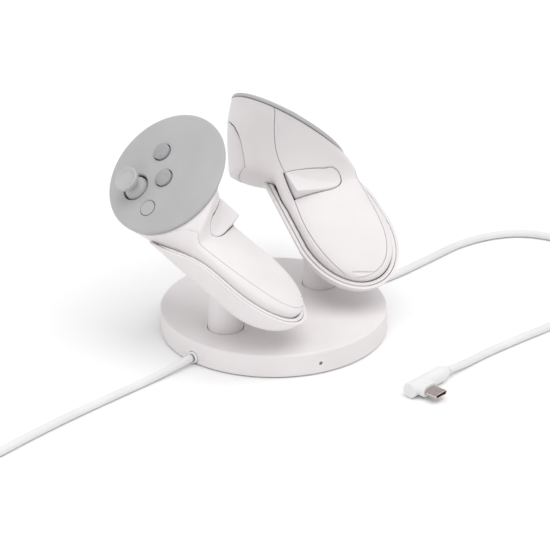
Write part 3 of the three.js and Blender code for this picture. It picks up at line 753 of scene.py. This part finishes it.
for side in ("left", "right"):
    for part, form in {**HANDLE_PIECES, **FACE_PIECES}.items():
        turn, origin = (HANDLE, TAIL) if part in HANDLE_PIECES else (FACE, FACE_AT)
        body = f"{side}_{RIDES[part]}" if part in RIDES else "dock"
        settle(placed(form, f"{side}_{part}_skin", turn, origin, side == "right"), f"{side}_{part}", body)
    settle(placed(post, f"{side}_post_skin", mirrored=side == "right"), f"{side}_post", "dock")
settle(placed(cover, "base_cover_skin"), "base_cover", "dock")
print("placed", len(pieces), "pieces")

# %% Base pad and cord collars
pad_outline = [[0.02, 0], *fillet([53, 0], [52.4, 0], [53, 0.4], 3), [53, 1], [0.02, 1]]
settle(placed(lathe("pad_form", pad_outline, 128), "foot_pad_skin"), "foot_pad", "dock")
collar_outline = [[2.1, -1.6], [3, -1.6], [3, 0.3], *fillet([3, 0.9], [3, 0.4], [2.4, 1.0], 4), [2.1, 1.0]]
for node, degrees in (("power_gland", 180), ("lead_gland", -5)):
    collar = lathe("collar_form", collar_outline, 48)
    collar.data.transform(Matrix.Rotation(math.radians(degrees), 4, "Z") @ Matrix.Translation((59, 0, 3.6))
                          @ Matrix.Rotation(math.radians(90), 4, "Y"))
    settle(placed(collar, node + "_skin"), node, "dock")
    bpy.data.objects.remove(collar)

# %% [markdown]
# ## Plugs
#
# The headset lead ends in a round barrel that lies across the cord's end, with a flat metal plug standing out
# of a short collar on its side. The supply cord ends in a plain two-part plug body beside its coil.

# %% Headset plug
PLUG_Y, PLUG_Z = -102.3, 4.0
barrel_outline = [[0.02, -13], *fillet([3.9, -13], [3.4, -13], [3.9, -12.5], 4), [3.95, -12.3], [3.95, 11.4],
                  *fillet([3.95, 12.5], [3.95, 11.7], [3.1, 12.5], 4), [3.3, 12.6], [2.9, 15.2], [2.5, 15.8],
                  [0.02, 15.8]]
barrel = lathe("barrel_form", barrel_outline, 72)
barrel.data.transform(Matrix.Translation((0, PLUG_Y, PLUG_Z)) @ Matrix.Rotation(math.radians(90), 4, "Y"))


def stadium(width, thick, steps=14):
    r = thick / 2
    right = [(width / 2 - r + r * math.cos(a), r * math.sin(a))
             for a in np.linspace(-math.pi / 2, math.pi / 2, steps)]
    return right + [(-x, -z) for x, z in right]


def towards_user(u, v, depth):
    return (-5.2 + u, PLUG_Y - depth, PLUG_Z + v)


cut(barrel, prism("plug_collar", stadium(10.8, 6.2), 1, 6.9, towards_user), "UNION")
plug_body = soften(barrel, 0.3, 2, 0.4)
settle(placed(plug_body, "lead_plug_skin"), "lead_plug", "dock")
tip = prism("tip_form", stadium(8.34, 2.5), 7.3, 13.9, towards_user)
cut(tip, prism("tip_mouth", stadium(7.5, 1.7), 9.0, 15, towards_user))
tongue = prism("tongue", stadium(6.6, 0.7, 6), 8.8, 12.9, towards_user)
cut(tip, tongue, "UNION")
settle(placed(tidy(tip), "plug_shell_skin"), "plug_shell", "dock")

# %% Supply plug
def rounded_box(name, low, high, edge):
    (x0, y0, z0), (x1, y1, z1) = low, high
    corners = [(x0, y0), (x1, y0), (x1, y1), (x0, y1)]
    box = prism(name, corners, z0, z1, lambda u, v, d: (u, v, d))
    soft = box.modifiers.new("edge", "BEVEL")
    soft.width = edge
    soft.segments = 3
    return freeze(box)


supply = rounded_box("supply_form", (-196.5, 47.1, 0.15), (-174.6, 61.9, 7.4), 1.4)
front = rounded_box("supply_front", (-178, 48.6, 1.6), (-161.6, 60.4, 6.0), 0.4)
cut(supply, front, "UNION")
settle(placed(tidy(supply), "power_plug_skin"), "power_plug", "dock")
for form in [o for o in bpy.data.objects if o.name.endswith("_form") or o.name in ("skin", "solid_body")]:
    bpy.data.objects.remove(form)
print("plugs done")

# %% [markdown]
# ## Finishes
#
# A finish is a small network of nodes. To keep it readable, one class wraps a node's socket and lets plain
# arithmetic build the Math nodes, and one method makes every other node.

# %% Shader arithmetic
class Value:
    """A number that varies over a surface. Arithmetic on it adds Math nodes."""

    def __init__(self, look, socket):
        self.look = look
        self.socket = socket

    def math(self, operation, a, b):
        return self.look.node("ShaderNodeMath", {"operation": operation}, {0: a, 1: b})

    def __add__(self, other):
        return self.math("ADD", self, other)

    def __radd__(self, other):
        return self.math("ADD", other, self)

    def __sub__(self, other):
        return self.math("SUBTRACT", self, other)

    def __rsub__(self, other):
        return self.math("SUBTRACT", other, self)

    def __mul__(self, other):
        return self.math("MULTIPLY", self, other)

    def __rmul__(self, other):
        return self.math("MULTIPLY", other, self)

    def __pow__(self, other):
        return self.math("POWER", self, other)


# %% A finish and its nodes
class Look:
    """One material, built node by node."""

    def __init__(self, name):
        self.material = bpy.data.materials.new(name)
        self.material.use_nodes = True
        self.tree = self.material.node_tree
        self.tree.nodes.clear()
        self.place = self.node("ShaderNodeTexCoord", {}, {}, "Object")

    def node(self, kind, settings, inputs, output=0):
        made = self.tree.nodes.new(kind)
        for key, value in settings.items():
            if key == "stops":
                ramp = made.color_ramp
                while len(ramp.elements) < len(value):
                    ramp.elements.new(0.5)
                for element, (at, color) in zip(ramp.elements, value):
                    element.position = at
                    element.color = (*color, 1)
            else:
                setattr(made, key, value)
        for key, value in inputs.items():
            if isinstance(value, Value):
                self.tree.links.new(value.socket, made.inputs[key])
            else:
                made.inputs[key].default_value = value
        return Value(self, made.outputs[output])

    def noise(self, scale, detail=3.0, roughness=0.5):
        return self.node("ShaderNodeTexNoise", {}, {"Vector": self.place, "Scale": scale, "Detail": detail,
                                                    "Roughness": roughness}, "Fac")

    def tint(self, factor, low, high, first=0.3, last=0.7):
        return self.node("ShaderNodeValToRGB", {"stops": [(first, low), (last, high)]}, {0: factor}, "Color")

    def bump(self, height, strength, distance):
        return self.node("ShaderNodeBump", {}, {"Height": height, "Strength": strength, "Distance": distance})

    def finish(self, **sockets):
        names = {"color": "Base Color", "rough": "Roughness", "metal": "Metallic", "normal": "Normal",
                 "coat": "Coat Weight", "coat_rough": "Coat Roughness", "ior": "IOR",
                 "soft": "Subsurface Weight", "reach": "Subsurface Scale", "sheen": "Sheen Weight",
                 "shine": "Specular IOR Level"}
        shader = self.node("ShaderNodeBsdfPrincipled", {}, {names[k]: v for k, v in sockets.items()})
        end = self.tree.nodes.new("ShaderNodeOutputMaterial")
        self.tree.links.new(shader.socket, end.inputs["Surface"])
        return self.material


# %% [markdown]
# ### White mouldings
#
# The shells are matt white plastic with a very fine spark texture from the mould. Real mouldings are never one
# even white: the tone drifts slightly over a few centimetres, and so does the gloss. Broad soft noise gives the
# drift, and fine noise gives the texture as a bump.

# %% White plastics
def moulded(name, low, high, rough, grain, depth, shine=0.5):
    look = Look(name)
    drift = look.noise(38, 2)
    fleck = look.noise(grain, 2, 0.6)
    color = look.tint(0.85 * drift + 0.15 * fleck, low, high, 0.34, 0.66)
    gloss = rough + 0.07 * (drift - 0.5) + 0.05 * (fleck - 0.5)
    return look.finish(color=color, rough=gloss, normal=look.bump(fleck, 0.35, depth), shine=shine)


WHITE_SHELL = moulded("white_shell", (0.78, 0.748, 0.752), (0.82, 0.788, 0.792), 0.46, 2600, 0.00002)
WHITE_LIP = moulded("white_lip", (0.80, 0.772, 0.776), (0.84, 0.812, 0.816), 0.36, 3000, 0.000012)
CORD_SKIN = moulded("cord_skin", (0.77, 0.765, 0.768), (0.82, 0.815, 0.818), 0.5, 3400, 0.00002)
GREY_FACE = moulded("grey_face", (0.44, 0.435, 0.44), (0.48, 0.475, 0.48), 0.34, 3000, 0.000014)

# %% Glossy keys, rubber and wrap
def polished(name, low, high, rough):
    look = Look(name)
    drift = look.noise(260, 2)
    return look.finish(color=look.tint(drift, low, high), rough=rough + 0.05 * (drift - 0.5), coat=1.0,
                       coat_rough=0.04, normal=look.bump(drift, 0.05, 0.00002))


KEY_GLOSS = polished("key_gloss", (0.33, 0.325, 0.335), (0.37, 0.365, 0.375), 0.16)
LAMP_LENS = polished("lamp_lens", (0.10, 0.10, 0.10), (0.16, 0.16, 0.16), 0.2)
PAD_RUBBER = moulded("pad_rubber", (0.018, 0.018, 0.019), (0.03, 0.03, 0.031), 0.8, 1800, 0.00005)
CELL_WRAP = polished("cell_wrap", (0.10, 0.17, 0.25), (0.13, 0.21, 0.29), 0.3)

# %% Metals
def metal(name, low, high, rough, stretch):
    look = Look(name)
    lines = look.node("ShaderNodeMapping", {}, {"Vector": look.place, "Scale": stretch})
    streak = look.node("ShaderNodeTexNoise", {}, {"Vector": lines, "Scale": 1400.0, "Detail": 3.0}, "Fac")
    return look.finish(color=look.tint(streak, low, high), rough=rough + 0.16 * (streak - 0.5), metal=1.0,
                       normal=look.bump(streak, 0.12, 0.00001))


STEEL = metal("drawn_steel", (0.52, 0.52, 0.53), (0.66, 0.66, 0.67), 0.3, (1.0, 0.08, 1.0))
TIP_METAL = metal("tip_metal", (0.55, 0.47, 0.46), (0.70, 0.61, 0.60), 0.24, (1.0, 0.1, 1.0))
GOLD = metal("contact_gold", (0.75, 0.56, 0.25), (0.86, 0.68, 0.34), 0.22, (1.0, 1.0, 0.2))

# %% Circuit board
look = Look("circuit_board")
tracks = look.node("ShaderNodeTexBrick", {"offset": 0.5},
                   {"Vector": look.place, "Scale": 260.0, "Mortar Size": 0.09}, "Fac")
fine = look.noise(900, 2)
BOARD = look.finish(color=look.tint(0.7 * tracks + 0.3 * fine, (0.02, 0.11, 0.05), (0.05, 0.24, 0.12)),
                    rough=0.35 + 0.15 * (fine - 0.5), normal=look.bump(tracks, 0.3, 0.0001))

# %% Finishes on pieces
def dress(piece, material):
    piece.data.materials.clear()
    piece.data.materials.append(material)


SLOT_LOOK = {"shell_white": WHITE_SHELL, "liner_white": WHITE_LIP, "face_grey": GREY_FACE,
             "button_gloss": KEY_GLOSS, "contact_gold": GOLD, "steel": STEEL, "board_green": BOARD,
             "pad_dark": PAD_RUBBER, "cell_wrap": CELL_WRAP, "cord_white": CORD_SKIN}
slots = {s["node"]: s["material_slot"] for s in frame["record"]["subparts"]}
for node, obj in nodes.items():
    target = pieces.get(node, obj)
    if target is obj:
        for slot in obj.material_slots:
            slot.material = SLOT_LOOK[slots[node]]
    else:
        dress(target, SLOT_LOOK[slots[node]])
for cord in (power_cord, lead):
    dress(cord, CORD_SKIN)
dress(pieces["plug_shell"], TIP_METAL)
for side in ("left", "right"):
    dress(pieces[side + "_menu_button"], GREY_FACE)
for slot in nodes["status_light"].material_slots:
    slot.material = LAMP_LENS
print("finishes", len(bpy.data.materials))

# %% [markdown]
# ## Stage and light
#
# A white product on a white floor is shown only by soft shade. A broad sun overhead lights the floor evenly to
# its far end and keeps the tops brightest. Two large lights beside the camera lift the flanks, so what faces
# the camera is a little darker. Only a small low light at the left shows as a reflection, as a thin crescent
# on each glossy key.

# %% Floor
floor = new_piece("floor", [(-6, -6, 0), (6, -6, 0), (6, 6, 0), (-6, 6, 0)], [(0, 1, 2, 3)])
floor.location.z = -0.0001
look = Look("floor_paper")
paper = look.noise(3, 2)
dress(floor, look.finish(color=look.tint(paper, (0.92, 0.92, 0.92), (0.94, 0.94, 0.94)), rough=0.9))


# %% Lights
def soft_light(name, at, size, power, reflected=False):
    data = bpy.data.lights.new(name, "AREA")
    data.shape = "DISK"
    data.size = size
    data.energy = power
    lamp = bpy.data.objects.new(name, data)
    lamp.location = at
    lamp.rotation_euler = (Vector((0, 0, 0.04)) - Vector(at)).to_track_quat("-Z", "Y").to_euler()
    lamp.visible_glossy = reflected
    bpy.context.scene.collection.objects.link(lamp)
    return lamp


soft_light("left_box", (-0.85, 0.55, 0.95), 0.9, 1.5)
soft_light("right_box", (0.75, -0.7, 0.85), 0.9, 1)
soft_light("edge", (-1.0, -0.25, 0.2), 0.22, 0.7, reflected=True)
sky_data = bpy.data.lights.new("sky", "SUN")
sky_data.energy = 1.5
sky_data.angle = math.radians(60)
sky = bpy.data.objects.new("sky", sky_data)
sky.rotation_euler = Vector((0, 0.25, -1)).to_track_quat("-Z", "Y").to_euler()
sky.visible_glossy = False
bpy.context.scene.collection.objects.link(sky)
world = bpy.data.worlds.new("room")
world.use_nodes = True
world.node_tree.nodes["Background"].inputs["Color"].default_value = (1, 1, 1, 1)
world.node_tree.nodes["Background"].inputs["Strength"].default_value = 0.6
bpy.context.scene.world = world
bpy.context.scene.view_settings.view_transform = "Standard"
